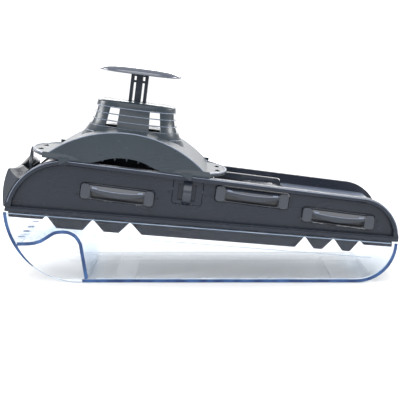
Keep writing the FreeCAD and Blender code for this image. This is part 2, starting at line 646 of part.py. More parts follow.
def make_julienne_teeth():
    """Row of upright steel teeth that part a slice into strips."""
    low = JULIENNE_SLOT[3] - 5.0
    teeth = []
    for i in range(11):
        y = -40.0 + 8.0 * i
        teeth.append(on_deck(polygon([(-98.0, low), (-92.0, low), (-92.6, low + 4.2),
                                      (-97.0, low + 2.6)], y - 0.35, y + 0.35)))
    return Part.makeCompound(teeth)


def make_wave_tray():
    return on_deck(stored_tray(WAVE_SLOT, (100.0, 118.0)))


def make_wave_blade():
    """Crinkle blade: sheet pressed into a row of arcs across its width."""
    low = WAVE_SLOT[3] - 5.0
    upper, lower = [], []
    count, half = 12, WAVE_PITCH / 2
    for i in range(count):
        y = -count * half + i * WAVE_PITCH
        for rows, z in ((upper, low + 1.0), (lower, low + 0.2)):
            rows.append(Part.Arc(Vector(0, y, z), Vector(0, y + half / 2, z + 0.8),
                                 Vector(0, y + half, z)).toShape())
            rows.append(Part.Arc(Vector(0, y + half, z), Vector(0, y + 1.5 * half, z - 0.1),
                                 Vector(0, y + 2 * half, z)).toShape())
    ends = []
    for y in (-count * half, count * half):
        ends.append(Part.LineSegment(Vector(0, y, low + 0.2), Vector(0, y, low + 1.0)).toShape())
    wire = Part.Wire(Part.sortEdges(upper + lower + ends)[0])
    blade = Part.Face(wire).extrude(Vector(30.0, 0, 0))
    blade.translate(Vector(116.6, 0, 0))
    return on_deck(blade)


# ---------------------------------------------------------------- comb cassette
def make_cassette():
    """Case for the fine combs: an upright front plate and a flat drawer behind it."""
    s0, s1, t0, t1 = CASSETTE_SLOT
    g = CLEAR
    front = rounded(s0 + g, s1 - g, t0 + g, t1 - g, 2.4, FRONT_Y0, -INNER_Y - 0.2)
    drawer = box(s0 + 1.3, s1 - 1.3, -INNER_Y - 0.3, 38.0, t0 + 1.3, -17.9)
    inside = box(s0 + 3.0, s1 - 3.0, -INNER_Y + 2.0, 36.0, t0 + 2.9, -17.0)
    grip = box(-17.0, -2.0, FRONT_Y0 - 1, FRONT_Y0 + 1.4, t0 + 4.0, t1 - 4.0)
    return on_deck(front.fuse(drawer).cut(inside).cut(grip))


def make_cassette_strap():
    """Bowed upright pull strap over the cassette's finger groove."""
    s0, s1, t0, t1 = CASSETTE_SLOT
    low, high, mid = t0 + CLEAR + 0.3, t1 - CLEAR - 0.3, (t0 + t1) / 2
    y_in, y_out = FRONT_Y0, -BEAD_Y + 0.4
    outer = [Part.Arc(Vector(0, y_in - 1.2, low), Vector(0, y_out, mid),
                      Vector(0, y_in - 1.2, high)).toShape()]
    inner = [Part.LineSegment(Vector(0, y_in, low + 3.2), Vector(0, y_in, low)).toShape(),
             Part.LineSegment(Vector(0, y_in, low), Vector(0, y_in - 1.2, low)).toShape(),
             Part.LineSegment(Vector(0, y_in, high - 3.2), Vector(0, y_in, high)).toShape(),
             Part.LineSegment(Vector(0, y_in, high), Vector(0, y_in - 1.2, high)).toShape(),
             Part.Arc(Vector(0, y_in, low + 3.2), Vector(0, y_out + 2.0, mid),
                      Vector(0, y_in, high - 3.2)).toShape()]
    face = Part.Face(Part.Wire(Part.sortEdges(outer + inner)[0]))
    face.translate(Vector(-13.0, 0, 0))
    return on_deck(face.extrude(Vector(7.5, 0, 0)))


def make_fine_combs():
    combs = []
    for s in (-16.5, -9.5, -2.5):
        strip = box(s - 0.4, s + 0.4, -50.0, 32.0, CASSETTE_SLOT[2] + 2.9, CASSETTE_SLOT[2] + 4.9)
        teeth = [box(s - 0.4, s + 0.4, y, y + 1.2, CASSETTE_SLOT[2] + 4.8, CASSETTE_SLOT[2] + 7.5)
                 for y in range(-48, 31, 4)]
        combs.append(on_deck(fuse([strip] + teeth)))
    return Part.makeCompound(combs)


# ---------------------------------------------------------------- food holder


def vault(radius, y_half, low):
    """Arched saddle of the holder: a circular arch pulled across the width."""
    centre = VAULT_TOP - VAULT_R
    half = math.sqrt(radius ** 2 - (low - centre) ** 2)
    return prism([arc((-half, low), (0, centre + radius), (half, low)), line((half, low), (-half, low))],
                 -y_half, y_half)


def tower_size(v):
    """Half-axes of the tower at height v, by straight interpolation."""
    for (a0, b0, v0), (a1, b1, v1) in zip(TOWER, TOWER[1:]):
        if v1 <= v <= v0:
            k = (v0 - v) / (v0 - v1)
            return a0 + k * (a1 - a0), b0 + k * (b1 - b0)
    return TOWER[-1][:2]


def holder_cavity():
    inner = vault(VAULT_R - SHELL_T, APRON_Y - APRON_T, SEAT_V - 3.0)
    tower = oval_loft([(a - SHELL_T, b - SHELL_T, v) for a, b, v in TOWER])
    return inner, tower


def make_holder_shell():
    body = vault(VAULT_R, APRON_Y, SEAT_V)
    ears = []
    for side in (-1, 1):
        ear = oval(32.0, 61.5, SEAT_V, 2.6)
        ear.translate(Vector(side * (EAR_END - 32.0), 0, 0))
        ears.append(ear)
    shell = fuse([body, oval_loft(TOWER), oval_loft(DOME)] + ears)
    shell = shell.cut(list(holder_cavity()))
    near_windows, far_windows, end_windows = [], [], []
    for side in (-1, 1):
        near_windows.append(polygon([(side * u, v) for u, v in NEAR_WINDOW], -60.0, -12.0))
        far_windows.append(polygon([(side * u, v) for u, v in FAR_WINDOW], 12.0, 60.0))
        end = box(31.0, 50.0, -END_WINDOW_HALF, END_WINDOW_HALF, -23.8, -6.0)
        end_windows.append(end if side > 0 else mirror_x(end))
    shell = shell.cut(near_windows + end_windows)
    rings = []
    for v in RING_V:
        a, b = tower_size(v)
        ring = oval(a + RING_PROUD, b + RING_PROUD, v - RING_T / 2, RING_T)
        rings.append(ring.cut(oval(a - RING_DEPTH, b - RING_DEPTH, v - 1, 2.0)))
    fins, teeth = [], []
    for side in (-1, 1):
        for mirror in (-1, 1):
            y0, y1 = sorted((side * FIN_Y0, side * FIN_Y1))
            fins.append(polygon([(mirror * u, v) for u, v in FIN], y0, y1))
        for u in TEETH_U:
            v = SEAT_V + RISE * (1 - (u / 33.0) ** 2)
            tooth = Part.makeCone(0.3, 1.1, 3.4, Vector(u, side * (APRON_Y - 1.2), v - 2.2), Z_AXIS)
            teeth.append(tooth)
    arches = []
    for side in (-1, 1):
        y0, y1 = sorted((side * (APRON_Y - 3.4), side * (APRON_Y + 1.0)))
        right = [(36.0, SEAT_V - 0.1), (27.0, SEAT_V + 1.4), (14.0, SEAT_V + 6.0)]
        left = [(-u, v) for u, v in right]
        low_r, low_l = (36.0, SEAT_V - 2.0), (-36.0, SEAT_V - 2.0)
        arches.append(prism([spline(left + [(0.0, SEAT_V + RISE)] + right[::-1]), line(right[0], low_r),
                             line(low_r, low_l), line(low_l, left[0])], y0, y1))
    holes = [box(-STEM_HALF - 0.4, STEM_HALF + 0.4, -STEM_Y - 0.4, STEM_Y + 0.4, -8.0, 1.0)]
    for side in (-1, 1):
        for y in (-17.0, 17.0):
            slot = oval(2.2, 7.0, SEAT_V - 1, 5.0)
            slot.translate(Vector(side * 79.5, y, 0))
            holes.append(slot)
    shell = shell.cut(arches)
    shell = fuse([shell] + rings + fins + teeth)
    return on_holder(shell.cut(holes + far_windows))


def make_stem():
    """Plunger stem: three bars joined at both ends, square to the cap."""
    stem = box(-STEM_HALF, STEM_HALF, -STEM_Y, STEM_Y, PUSHER_V + PUSHER_T, STEM_TOP)
    slots = [box(min(side * 2.9, side * 4.9), max(side * 2.9, side * 4.9), -STEM_Y - 1, STEM_Y + 1,
                 v0, v1) for side in (-1, 1) for v0, v1 in ((-2.0, 17.0), (19.0, 22.6))]
    bore = Part.makeCylinder(1.2, 8.0, Vector(0, 0, PUSHER_V + PUSHER_T - 1), Z_AXIS)
    return on_holder(stem.cut(slots + [bore]))


def make_cap():
    """Shallow oval palm cap with a flat underside."""
    cap = oval_loft([(36.6, 26.6, 24.6), (37.3, 27.3, 26.2), (36.3, 26.3, 28.3), (31.0, 21.5, 30.6),
                     (20.0, 13.0, 31.9)])
    return on_holder(cap)


def make_spring_collar():
    collar = Part.makeCylinder(12.2, 1.6, Vector(0, 0, COLLAR_V), Z_AXIS)
    return on_holder(collar.cut(box(-STEM_HALF, STEM_HALF, -STEM_Y, STEM_Y, -10, 0)))


def make_spring():
    """Return spring between the guide plate and the stem's collar."""
    low, high = SPIDER_V + SPIDER_T + WIRE_R + 0.1, COLLAR_V - WIRE_R - 0.1
    turns = 7
    helix = Part.makeHelix((high - low) / turns, high - low, SPRING_R)
    helix.translate(Vector(0, 0, low))
    profile = Part.Wire(Part.makeCircle(WIRE_R, Vector(SPRING_R, 0, low), Y_AXIS))
    coil = Part.Wire(helix).makePipeShell([profile], True, True)
    return on_holder(coil)


def make_guide_plate():
    """Cross plate inside the holder that guides the stem and carries the spring."""
    bar = box(-48.0, 48.0, -13.0, 13.0, SPIDER_V, SPIDER_V + SPIDER_T)
    inner, _ = holder_cavity()
    bar = bar.common(inner)
    return on_holder(bar.cut(box(-STEM_HALF - 0.4, STEM_HALF + 0.4, -STEM_Y - 0.4, STEM_Y + 0.4, -60, 0)))


def make_pusher():
    plate = oval(31.0, 25.0, PUSHER_V, PUSHER_T)
    holes = [Part.makeCylinder(1.3, 6.0, Vector(0, 0, PUSHER_V - 1), Z_AXIS),
             Part.makeCylinder(2.6, 1.5, Vector(0, 0, PUSHER_V - 0.3), Z_AXIS)]
    holes += [Part.makeCylinder(0.9, 3.0, Vector(x, y, PUSHER_V - 1.6), Z_AXIS) for x, y in PRONGS]
    return on_holder(plate.cut(holes))


def make_prongs():
    prongs = []
    for x, y in PRONGS:
        shank = Part.makeCylinder(0.9, 1.4 + 3.0, Vector(x, y, PUSHER_V - 3.0), Z_AXIS)
        tip = Part.makeCone(0.15, 0.9, PUSHER_V - 3.0 - PRONG_TIP, Vector(x, y, PRONG_TIP), Z_AXIS)
        prongs.append(on_holder(shank.fuse(tip)))
    return Part.makeCompound(prongs)


def make_pusher_screw():
    head = Part.makeCylinder(2.5, 1.2, Vector(0, 0, PUSHER_V), Z_AXIS)
    head = head.cut(box(-3, 3, -0.4, 0.4, PUSHER_V - 0.1, PUSHER_V + 0.5))
    return on_holder(head.fuse(Part.makeCylinder(1.2, 8.0, Vector(0, 0, PUSHER_V + 1.2), Z_AXIS)))


# ---------------------------------------------------------------- every node
NODES = {
    "tub_shell": make_tub,
    "foot_strip_left": lambda: make_strip("left"),
    "foot_strip_right": lambda: make_strip("right"),
    "frame_shell": make_frame,
    "end_grip": make_end_grip,
    "outfeed_deck": make_outfeed_deck,
    "deck_screws": make_deck_screws,
    "run_in_hinge_pin": make_hinge_pin,
    "lever_pin": make_lever_pin,
    "run_in_plate": make_run_in_plate,
    "run_in_carrier": make_run_in_carrier,
    "plate_rivets": make_plate_rivets,
    "thickness_lever": make_lever,
    "lever_face_plate": make_lever_face,
    "ramp_slider": make_ramp_slider,
    "slice_tray": make_slice_tray,
    "slice_blade": make_slice_blade,
    "slice_blade_rivets": make_blade_rivets,
    "slice_handle": lambda: make_handle(SLICE_SLOT),
    "julienne_tray": make_julienne_tray,
    "julienne_blade": make_julienne_blade,
    "julienne_teeth": make_julienne_teeth,
    "julienne_handle": lambda: make_handle(JULIENNE_SLOT),
    "wave_tray": make_wave_tray,
    "wave_blade": make_wave_blade,
    "wave_handle": lambda: make_handle(WAVE_SLOT),
    "comb_cassette": make_cassette,
    "cassette_strap": make_cassette_strap,
    "fine_combs": make_fine_combs,
    "holder_shell": make_holder_shell,
    "holder_guide_plate": make_guide_plate,
    "return_spring": make_spring,
    "plunger_cap": make_cap,
    "plunger_stem": make_stem,
    "spring_collar": make_spring_collar,
    "pusher_plate": make_pusher,
    "pusher_prongs": make_prongs,
    "pusher_screw": make_pusher_screw,
}

os.makedirs("parts", exist_ok=True)
for name, make in NODES.items():
    shape = make()
    shape.exportStep(f"parts/{name}.step")
    bounds = shape.BoundBox
    print(f"{name:20s} solids {len(shape.Solids)} volume {shape.Volume:9.1f} valid {shape.isValid()}"
          f" x {bounds.XMin:7.1f} {bounds.XMax:7.1f} y {bounds.YMin:6.1f} {bounds.YMax:6.1f}"
          f" z {bounds.ZMin:6.1f} {bounds.ZMax:6.1f}")
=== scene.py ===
import bpy
import bmesh
import json
import math
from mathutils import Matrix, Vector


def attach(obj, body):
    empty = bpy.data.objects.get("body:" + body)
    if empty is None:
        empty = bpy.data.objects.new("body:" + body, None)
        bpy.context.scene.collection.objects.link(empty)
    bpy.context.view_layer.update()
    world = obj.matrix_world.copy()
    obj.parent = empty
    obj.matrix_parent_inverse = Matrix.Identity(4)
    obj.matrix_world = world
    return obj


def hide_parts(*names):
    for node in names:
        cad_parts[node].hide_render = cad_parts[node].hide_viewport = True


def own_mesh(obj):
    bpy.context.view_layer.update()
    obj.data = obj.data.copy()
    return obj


# Mandoline slicer on a clear catch tub. The scene is in metres; MM turns the millimetres that
# sizes are written in into metres. Deck coordinates are (s, y, t): s along the sloping deck, y
# across the slicer, t square to the deck. The holder has its own (u, y, v), from its tower's top.

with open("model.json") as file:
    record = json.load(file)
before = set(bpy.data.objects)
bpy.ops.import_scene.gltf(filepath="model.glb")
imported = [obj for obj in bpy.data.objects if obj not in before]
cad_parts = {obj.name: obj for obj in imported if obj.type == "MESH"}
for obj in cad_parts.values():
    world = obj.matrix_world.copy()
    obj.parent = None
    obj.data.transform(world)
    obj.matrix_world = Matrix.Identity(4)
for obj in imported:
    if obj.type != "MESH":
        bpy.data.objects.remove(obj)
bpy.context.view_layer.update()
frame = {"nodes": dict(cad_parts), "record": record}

MM = 0.001
NODES = frame["nodes"]

# ---------------------------------------------------------------- driving sizes
SLOPE_DEGREES = 7.22               # the frame's top falls towards +X
DECK_ANGLE = math.radians(SLOPE_DEGREES)
SIN, COS = math.sin(DECK_ANGLE), math.cos(DECK_ANGLE)
TOP_Z = 91.5 * MM                  # height of the side walls' top line at X = 0
HOLDER_S, HOLDER_T = -64.0, 54.2   # the holder's tower top, along and across the deck
PANEL_Y, BEAD_Y = -58.0, -64.0     # recessed panel and raised border of the near wall
APRON_Y, SEAT_V = 64.6, -54.0
EAR_END, EAR_RX, EAR_RY = 88.0, 32.0, 61.5
EAR_BEAD = 0.9
SPRING_R, SPRING_WIRE, SPRING_TURNS = 11.0, 0.55, 7
SPRING_LOW, SPRING_HIGH = -33.9, -6.1

# cartridge windows: start, end, bottom, top, along and across the deck
PULL_SLOTS = {
    "julienne_handle": ("julienne_cartridge", (-101.0, -36.5, -31.6, -17.2)),
    "slice_handle": ("slice_cartridge", (14.6, 78.8, -19.4, -5.0)),
    "wave_handle": ("wave_cartridge", (91.0, 154.5, -27.6, -14.2)),
}


def on_deck(s, y, t):
    """The point of the scene at deck coordinates in millimetres."""
    return Vector(((s * COS + t * SIN) * MM, y * MM, TOP_Z + (-s * SIN + t * COS) * MM))


def on_holder(u, y, v):
    """The point of the scene at holder coordinates in millimetres."""
    return on_deck(HOLDER_S + u, y, HOLDER_T + v)


# ---------------------------------------------------------------- materials
def new_material(name):
    """An empty material with a Principled shader wired to its output."""
    material = bpy.data.materials.new(name)
    material.use_nodes = True
    tree = material.node_tree
    tree.nodes.clear()
    output = tree.nodes.new("ShaderNodeOutputMaterial")
    shader = tree.nodes.new("ShaderNodeBsdfPrincipled")
    tree.links.new(shader.outputs["BSDF"], output.inputs["Surface"])
    return material, tree, shader, output


def object_point(tree, scale=(1, 1, 1)):
    """Object coordinates, stretched by scale."""
    coords = tree.nodes.new("ShaderNodeTexCoord")
    mapping = tree.nodes.new("ShaderNodeMapping")
    mapping.inputs["Scale"].default_value = scale
    tree.links.new(coords.outputs["Object"], mapping.inputs["Vector"])
    return mapping.outputs["Vector"]


def noise(tree, point, scale, detail=3.0, rough=0.5):
    node = tree.nodes.new("ShaderNodeTexNoise")
    node.inputs["Scale"].default_value = scale
    node.inputs["Detail"].default_value = detail
    node.inputs["Roughness"].default_value = rough
    tree.links.new(point, node.inputs["Vector"])
    return node.outputs["Fac"]


def ramp(tree, value, low, high, first, last):
    """Maps value from low..high to first..last, with no overshoot."""
    node = tree.nodes.new("ShaderNodeMapRange")
    node.inputs["From Min"].default_value = low
    node.inputs["From Max"].default_value = high
    node.inputs["To Min"].default_value = first
    node.inputs["To Max"].default_value = last
    tree.links.new(value, node.inputs["Value"])
    return node.outputs["Result"]


def mix_colour(tree, factor, first, second):
    node = tree.nodes.new("ShaderNodeMix")
    node.data_type = "RGBA"
    tree.links.new(factor, node.inputs["Factor"])
    for socket, value in ((node.inputs["A"], first), (node.inputs["B"], second)):
        if isinstance(value, tuple):
            socket.default_value = (*value, 1.0)
        else:
            tree.links.new(value, socket)
    return node.outputs["Result"]


def add_values(tree, a, b):
    node = tree.nodes.new("ShaderNodeMath")
    node.operation = "ADD"
    tree.links.new(a, node.inputs[0])
    tree.links.new(b, node.inputs[1])
    return node.outputs["Value"]


def bump(tree, shader, height, strength, distance):
    node = tree.nodes.new("ShaderNodeBump")
    node.inputs["Strength"].default_value = strength
    node.inputs["Distance"].default_value = distance
    tree.links.new(height, node.inputs["Height"])
    tree.links.new(node.outputs["Normal"], shader.inputs["Normal"])


def edge_wear(tree):
    """1 on worn outside edges, 0 elsewhere."""
    geometry = tree.nodes.new("ShaderNodeNewGeometry")
    return ramp(tree, geometry.outputs["Pointiness"], 0.60, 0.72, 0.0, 1.0)


def moulded_plastic(name, dark, light, worn, rough, grain, grain_size=1500.0, coat=0.0, shine=0.5):
    """Moulded plastic: slow colour drift, fine moulded grain, sliding marks and small pale scuffs."""
    material, tree, shader, _ = new_material(name)
    point = object_point(tree)
    drift = ramp(tree, noise(tree, point, 22.0), 0.35, 0.65, 0.0, 1.0)
    base = mix_colour(tree, drift, dark, light)
    scuffs = ramp(tree, noise(tree, object_point(tree, (1.0, 1.6, 1.6)), 420.0, 2.0), 0.64, 0.80, 0.0, 0.22)
    tree.links.new(mix_colour(tree, scuffs, base, worn), shader.inputs["Base Color"])
    smears = noise(tree, object_point(tree, (12.0, 70.0, 40.0)), 3.0, 4.0, 0.6)
    marks = ramp(tree, smears, 0.3, 0.7, rough * 0.96, rough * 1.04)
    tree.links.new(marks, shader.inputs["Roughness"])
    bump(tree, shader, noise(tree, point, grain_size, 2.0), grain, 0.0002)
    shader.inputs["Coat Weight"].default_value = coat
    shader.inputs["Coat Roughness"].default_value = 0.08
    shader.inputs["Coat IOR"].default_value = 1.8
    shader.inputs["IOR"].default_value = 1.5
    shader.inputs["Specular IOR Level"].default_value = shine
    return material


TUB_FLOOR = (0.0024, 0.0036)       # heights between which the tub's floor turns into its walls


def clear_plastic(name, tint, density, rough, veil, floor_veil):
    """Thin clear plastic, cloudier in its floor, faintly blue where it is thick.

    The veil is the share of light that meets the plastic; the rest goes straight through.
    """
    material, tree, shader, output = new_material(name)
    point = object_point(tree)
    haze = ramp(tree, noise(tree, point, 30.0), 0.3, 0.7, 0.0, 1.0)
    tree.links.new(mix_colour(tree, haze, (0.97, 0.985, 0.995), (0.99, 0.995, 1.0)),
                   shader.inputs["Base Color"])
    tree.links.new(ramp(tree, noise(tree, point, 260.0, 4.0), 0.4, 0.75, rough, rough * 3.0),
                   shader.inputs["Roughness"])
    bump(tree, shader, noise(tree, point, 55.0, 1.0), 0.05, 0.0004)
    height = tree.nodes.new("ShaderNodeSeparateXYZ")
    tree.links.new(object_point(tree), height.inputs["Vector"])
    tree.links.new(ramp(tree, height.outputs["Z"], *TUB_FLOOR, floor_veil, veil), shader.inputs["Alpha"])
    clearness = ramp(tree, height.outputs["Z"], *TUB_FLOOR, 0.2, 1.0)
    tree.links.new(clearness, shader.inputs["Transmission Weight"])
    shader.inputs["IOR"].default_value = 1.46
    volume = tree.nodes.new("ShaderNodeVolumeAbsorption")
    volume.inputs["Color"].default_value = (*tint, 1.0)
    volume.inputs["Density"].default_value = density
    tree.links.new(volume.outputs["Volume"], output.inputs["Volume"])
    return material


def edge_tint_and_highlight(name, deep, pale, rough, patch_size):
    """Edge of a clear wall, where the light that ran along the wall comes out tinted, or a painted highlight
    line on the clear plastic.
    """
    material, tree, shader, _ = new_material(name)
    point = object_point(tree)
    patches = ramp(tree, noise(tree, point, patch_size, 2.0), 0.38, 0.66, 0.0, 1.0)
    tree.links.new(mix_colour(tree, patches, deep, pale), shader.inputs["Base Color"])
    spread = ramp(tree, noise(tree, point, 300.0), 0.4, 0.7, rough, rough * 1.8)
    tree.links.new(spread, shader.inputs["Roughness"])
    bump(tree, shader, noise(tree, point, 140.0, 1.0), 0.08, 0.0003)
    return material


def brushed_steel(name, stretch, rough, streak, tone=(0.80, 0.81, 0.83)):
    """Steel with fine lines along one direction, faint smudges and brighter edges."""
    material, tree, shader, _ = new_material(name)
    lines = noise(tree, object_point(tree, stretch), 60.0, 5.0, 0.7)
    smudge = noise(tree, object_point(tree), 35.0, 4.0)
    darker = tuple(c * 0.78 for c in tone)
    base = mix_colour(tree, ramp(tree, lines, 0.3, 0.7, 0.0, 1.0), darker, tone)
    tree.links.new(mix_colour(tree, edge_wear(tree), base, (0.92, 0.92, 0.93)), shader.inputs["Base Color"])
    shader.inputs["Metallic"].default_value = 1.0
    spread = add_values(tree, ramp(tree, lines, 0.3, 0.7, rough * 0.7, rough * 1.2),
                        ramp(tree, smudge, 0.45, 0.7, 0.0, rough * 0.5))
    tree.links.new(spread, shader.inputs["Roughness"])
    bump(tree, shader, lines, streak, 0.0001)
    shader.inputs["Anisotropic"].default_value = 0.35
    return material


MATERIALS = {
    "frame_slate": moulded_plastic("frame_slate", (0.014, 0.019, 0.030), (0.016, 0.021, 0.034),
                                   (0.060, 0.070, 0.095), 0.27, 0.03, 1500.0, 0.05, 0.28),
    "gloss_slate": moulded_plastic("gloss_slate", (0.022, 0.028, 0.041), (0.025, 0.032, 0.046),
                                   (0.10, 0.12, 0.17), 0.18, 0.02, 900.0, 0.2, 0.4),
    "holder_slate": moulded_plastic("holder_slate", (0.023, 0.033, 0.044), (0.026, 0.037, 0.048),
                                    (0.12, 0.15, 0.19), 0.28, 0.02, 1100.0, 0.05, 0.35),
    "cap_gloss": moulded_plastic("cap_gloss", (0.045, 0.055, 0.085), (0.055, 0.068, 0.10),
                                 (0.14, 0.17, 0.23), 0.12, 0.01, 1100.0, 1.0),
    # painted highlight: pale slate laid on beads, ridges, rings and the outfeed deck where the dark plastic
    # catches the light
    "painted_highlight_slate": moulded_plastic("painted_highlight_slate", (0.15, 0.18, 0.25), (0.19, 0.23, 0.31),
                                  (0.40, 0.45, 0.55), 0.20, 0.02, 1100.0, 0.2),
    "tub_clear": clear_plastic("tub_clear", (0.12, 0.38, 0.66), 18.0, 0.02, 0.24, 0.62),
    "foot_strip": clear_plastic("foot_strip", (0.55, 0.70, 0.82), 30.0, 0.20, 0.8, 0.8),
    "tub_edge": edge_tint_and_highlight("tub_edge", (0.008, 0.036, 0.13), (0.035, 0.10, 0.26), 0.12, 90.0),
    # painted highlight: bluish lines along the tub's rim, its lower-left outline and its ledges
    "painted_tub_highlight": edge_tint_and_highlight("painted_tub_highlight", (0.26, 0.36, 0.50), (0.40, 0.50, 0.64), 0.15, 60.0),
    # painted glint: pale line just inside the tub's end curves and floor
    "tub_glint": edge_tint_and_highlight("tub_glint", (0.50, 0.62, 0.78), (0.72, 0.80, 0.90), 0.15, 60.0),
    "polished_steel": brushed_steel("polished_steel", (1.5, 40.0, 40.0), 0.16, 0.10),
    "bright_steel": brushed_steel("bright_steel", (25.0, 25.0, 25.0), 0.24, 0.06, (0.70, 0.71, 0.73)),
}


# ---------------------------------------------------------------- mesh helpers
def smooth_shaded(mesh, sharp_angle):
    """Shades the mesh smooth, apart from edges sharper than the angle in degrees."""
    mesh.polygons.foreach_set("use_smooth", [True] * len(mesh.polygons))
    mesh.set_sharp_from_angle(angle=math.radians(sharp_angle))
    mesh.update()


def place(name, mesh, body, slot, replaced=(), finish=None):
    """Puts a finished mesh in the scene as a piece of that body, with the material of that slot.

    finish names another material than the slot's own.
    """
    piece = bpy.data.objects.new(name, mesh)
    bpy.context.scene.collection.objects.link(piece)
    mesh.materials.clear()
    mesh.materials.append(MATERIALS[finish or slot])
    weighted = piece.modifiers.new("even normals", "WEIGHTED_NORMAL")
    weighted.keep_sharp = True
    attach(piece, body)
    if replaced:
        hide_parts(*replaced)
    return piece


def mesh_from(name, bm, sharp_angle=35.0):
    """A finished mesh with its faces turned outwards; uses up bm."""
    bmesh.ops.recalc_face_normals(bm, faces=bm.faces[:])
    mesh = bpy.data.meshes.new(name)
    bm.to_mesh(mesh)
    bm.free()
    smooth_shaded(mesh, sharp_angle)
    return mesh


def soften(bm, width, pick, segments=2):
    """Rounds the outside corners that pick accepts."""
    edges = []
    for edge in bm.edges:
        if len(edge.link_faces) == 2 and edge.calc_face_angle(0.0) > math.radians(28.0):
            if edge.is_convex and edge.calc_length() > 0.5 * width and pick(edge):
                edges.append(edge)
    if edges:
        bmesh.ops.bevel(bm, geom=edges, offset=width, offset_type="OFFSET", segments=segments, profile=0.5,
                        affect="EDGES", clamp_overlap=False, miter_outer="ARC")


def any_edge(edge):
    return True


def refined(node, body, slot, width=0.35, stages=(), finish=None, pick=any_edge):
    """The CAD node's shape with its corners rounded, standing for that node.

    stages holds (width, rule) pairs, done in turn before the corners that pick accepts are
    rounded by width.
    """
    bm = bmesh.new()
    bm.from_mesh(NODES[node].data)
    bmesh.ops.remove_doubles(bm, verts=bm.verts[:], dist=0.01 * MM)
    bmesh.ops.dissolve_limit(bm, angle_limit=math.radians(0.5), verts=bm.verts[:], edges=bm.edges[:])
    for wide, rule in stages:
        soften(bm, wide * MM, rule, 3)
    soften(bm, width * MM, pick)
    bmesh.ops.remove_doubles(bm, verts=bm.verts[:], dist=0.004 * MM)
    return place(node + "_finish", mesh_from(node + "_finish", bm), body, slot, (node,), finish)


def loft(bm, rings):
    """Closed skin through rings of the same number of points."""
    rows = [[bm.verts.new(p) for p in ring] for ring in rings]
    count = len(rows[0])
    for a, b in zip(rows, rows[1:]):
        for i in range(count):
            bm.faces.new((a[i], a[(i + 1) % count], b[(i + 1) % count], b[i]))
    bm.faces.new(rows[0][::-1])
    bm.faces.new(rows[-1])


def rounded_rectangle(x0, x1, z0, z1, radius):
    """Corner-rounded rectangle as (x, z) points."""
    steps = 6
    points = []
    corners = ((x1 - radius, z1 - radius, 0), (x0 + radius, z1 - radius, 90),
               (x0 + radius, z0 + radius, 180), (x1 - radius, z0 + radius, 270))
    for cx, cz, start in corners:
        for i in range(steps + 1):
            a = math.radians(start + 90.0 * i / steps)
            points.append((cx + radius * math.cos(a), cz + radius * math.sin(a)))
    return points


def tube(name, runs, radius, body, slot, replaced=(), finish=None):
    """Round bar along one or more open runs of points of the scene; radius is in millimetres."""
    curve = bpy.data.curves.new(name, "CURVE")
    curve.dimensions = "3D"
    curve.bevel_depth = radius * MM
    curve.bevel_resolution = 4
    curve.use_fill_caps = True
    for run in runs:
        spline = curve.splines.new("NURBS")
        spline.points.add(len(run) - 1)
        for point, place_at in zip(spline.points, run):
            point.co = (*place_at, 1.0)
        spline.order_u = 3
        spline.resolution_u = 3
        spline.use_endpoint_u = True
    maker = bpy.data.objects.new(name + "_maker", curve)
    bpy.context.scene.collection.objects.link(maker)
    bpy.context.view_layer.update()
    mesh = bpy.data.meshes.new_from_object(maker.evaluated_get(bpy.context.evaluated_depsgraph_get()))
    bpy.data.objects.remove(maker)
    smooth_shaded(mesh, 40.0)
    return place(name, mesh, body, slot, replaced, finish)


# ---------------------------------------------------------------- tub
TUB_SIDE = -65.0                                     # outer face of the near wall
TUB_LEFT, TUB_LEFT_R = -104.5, 65.0                  # centre and radius of the end curves
TUB_RIGHT, TUB_RIGHT_R = 135.0, 35.5
RIM_Z, RIM_SLOPE = 49.0 * MM, 0.08                   # rim height at X = 0 and its fall towards +X
EDGE_WIDTH = 3.0                                     # width of the blue edges
FLOOR_START = -102.0                                 # where the flat floor's edge begins
ARCH = [(-157.8, 35.4), (-152.5, 35.4), (-147.0, 35.5), (-142.5, 36.2), (-138.0, 37.6), (-134.0, 39.9),
        (-130.0, 42.6), (-126.0, 44.8), (-122.0, 45.6), (-117.8, 45.8), (-113.6, 45.4), (-109.8, 43.9),
        (-106.4, 41.6), (-103.6, 38.0), (-101.6, 34.0), (-98.4, 14.0), (-96.9, 3.4)]
GRIP_RIBS = (-42.0, -14.0, 14.0, 42.0)               # ribs under the hand arch, across the tub


def rim_height(x):
    """Height of the tub's rim."""
    return RIM_Z - RIM_SLOPE * x


LEFT_STEPS, RIGHT_STEPS = 14, 12


def left_curve(inset, first, last):
    """Points of the tub's left end, moved in by inset, between two angles below its centre."""
    radius = TUB_LEFT_R - inset
    angles = [math.radians(first + (last - first) * i / LEFT_STEPS) for i in range(LEFT_STEPS + 1)]
    return [(TUB_LEFT - radius * math.cos(a), TUB_LEFT_R - radius * math.sin(a)) for a in angles]


def right_curve(inset, first, last):
    """Points of the tub's right end, moved in by inset, from the floor round to the rim."""
    radius = TUB_RIGHT_R - inset
    angles = [math.radians(first + (last - first) * i / RIGHT_STEPS) for i in range(RIGHT_STEPS + 1)]
    return [(TUB_RIGHT + radius * math.sin(a), TUB_RIGHT_R - radius * math.cos(a)) for a in angles]


def ribbon(name, outer, inner):
    """Thin inlay in the near wall's outer face, between two lines of (x, z) points."""
    bm = bmesh.new()
    y0, y1 = (TUB_SIDE - 0.06) * MM, (TUB_SIDE + 0.5) * MM
    rings = []
    for (xo, zo), (xi, zi) in zip(outer, inner):
        corners = ((xo, y0, zo), (xo, y1, zo), (xi, y1, zi), (xi, y0, zi))
        rings.append([(x * MM, y, z * MM) for x, y, z in corners])
    loft(bm, rings)
    place(name, mesh_from(name, bm), "tub", "tub_clear", finish="tub_edge")


def tapered_left_edge():
    """Outer and inner line of the left edge, which narrows over its lower half."""
    outer = left_curve(0.2, 3.0, 52.0)
    inner = []
    for i, (x, z) in enumerate(left_curve(EDGE_WIDTH, 3.0, 52.0)):
        share = max(0.0, i / LEFT_STEPS - 0.55) / 0.45
        xo, zo = outer[i]
        inner.append((x + 0.7 * share * (xo - x), z + 0.7 * share * (zo - z)))
    return outer, inner


